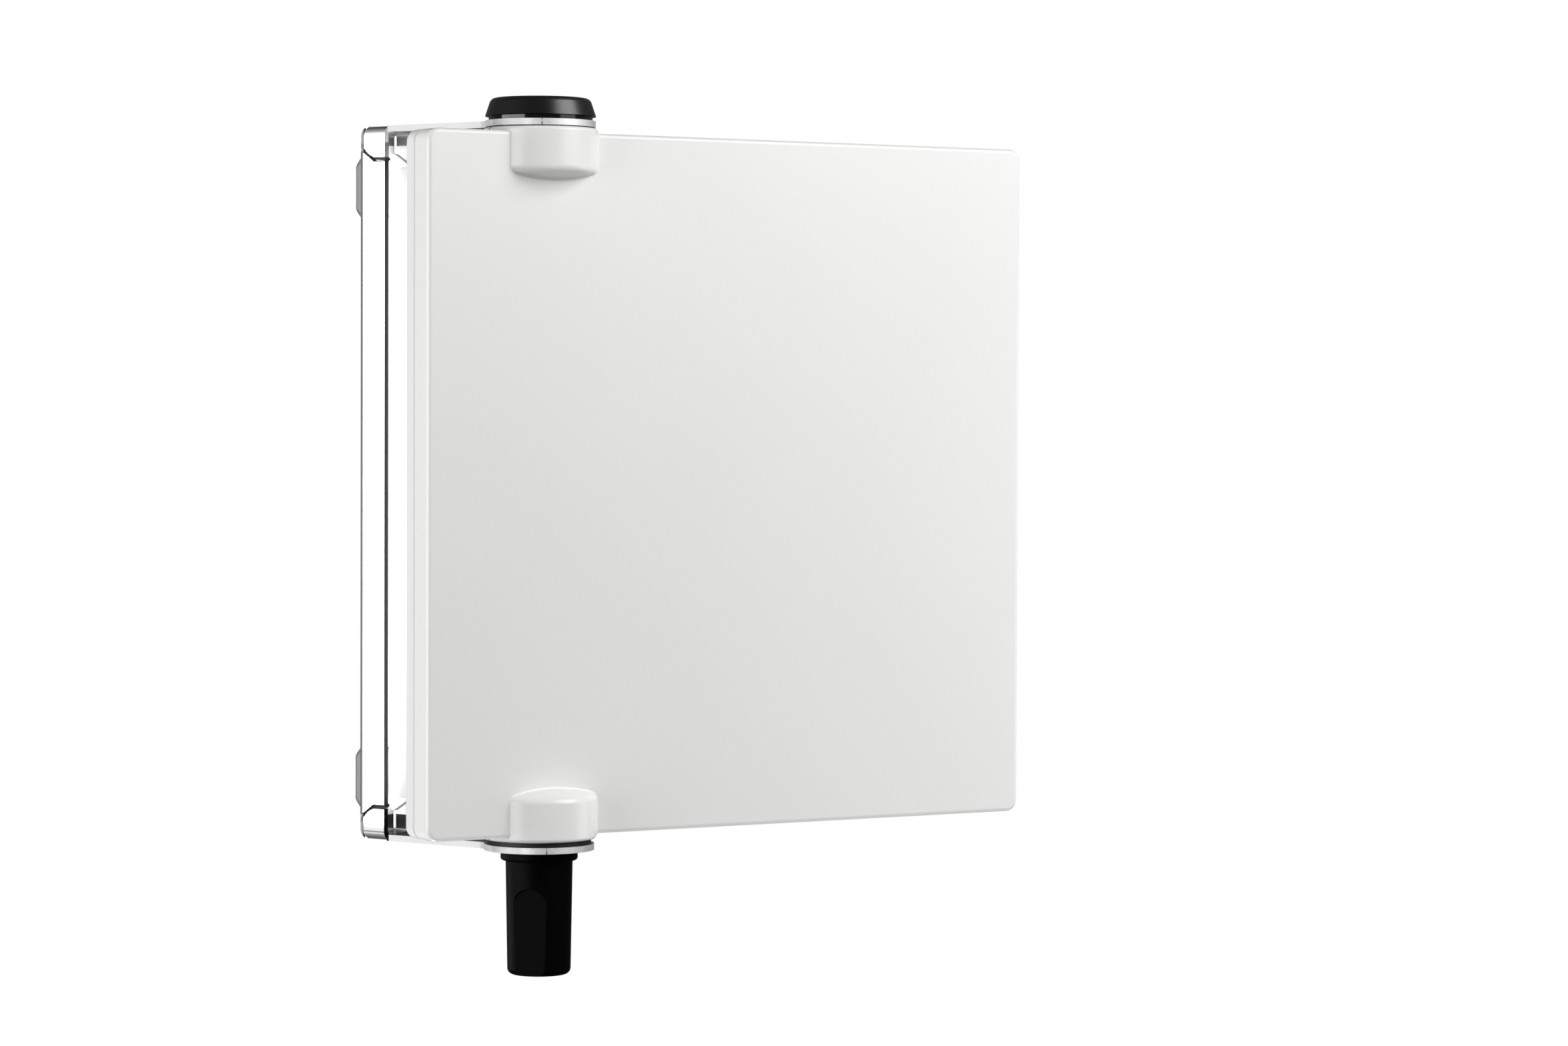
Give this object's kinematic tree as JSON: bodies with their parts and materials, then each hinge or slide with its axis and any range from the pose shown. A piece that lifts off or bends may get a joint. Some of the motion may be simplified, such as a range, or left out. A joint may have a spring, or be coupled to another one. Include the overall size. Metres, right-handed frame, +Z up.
{
  "type": "outdoor tv antenna",
  "caption": "Flat square panel antenna for outdoor television, turning on an off-centre upright axis between the arms of a folded metal wall bracket, with a rubber cable boot below.",
  "frame": {"origin": "on the wall plane, midway between the two wall screw holes of the bracket", "axes": "+Z up along the swivel axis, +Y into the wall, the bracket reaches out along -Y; the panel is stored turned 23 degrees from straight ahead, as pictured"},
  "size_m": [0.2078, 0.149, 0.275],
  "materials": {
    "bracket_metal": "bright rolled sheet",
    "bush_plastic": "glossy black",
    "cover_plastic": "fine satin",
    "seal_rubber": "matte",
    "fastener_steel": "zinc plated",
    "board_laminate": "solder mask",
    "reflector_metal": "mill finish",
    "copper": "etched foil",
    "spacer_plastic": "moulded",
    "tinned_steel": "tinned",
    "jumper_jacket": "extruded jacket",
    "cap_plastic": "satin black",
    "socket_metal": "nickel plated",
    "insulator_plastic": "turned",
    "boot_rubber": "matte black"
  },
  "bodies": {
    "bracket": {"mounting_bracket": "bracket_metal", "upper_bush": "bush_plastic", "lower_bush": "bush_plastic"},
    "panel": {"front_cover": "cover_plastic", "rear_cover": "cover_plastic", "cover_seal": "seal_rubber", "cover_screws": "fastener_steel", "antenna_board": "board_laminate", "reflector_plate": "reflector_metal", "radiator_elements": "copper", "board_spacers": "spacer_plastic", "board_screws": "fastener_steel", "shield_can": "tinned_steel", "coax_jumper": "jumper_jacket", "pivot_screw": "fastener_steel", "pivot_nut": "fastener_steel", "pivot_washer": "fastener_steel", "pivot_cap": "cap_plastic", "f_socket": "socket_metal", "socket_insulator": "insulator_plastic", "socket_contact": "copper", "lock_washer": "fastener_steel", "lock_nut": "socket_metal", "cable_boot": "boot_rubber"}
  },
  "joints": [
    {"name": "panel_swivel", "type": "hinge", "parent": "bracket", "child": "panel", "pos_m": [0, -0.0722, 0], "axis": [0, 0, 1], "range_deg": [-37, 83]}
  ]
}
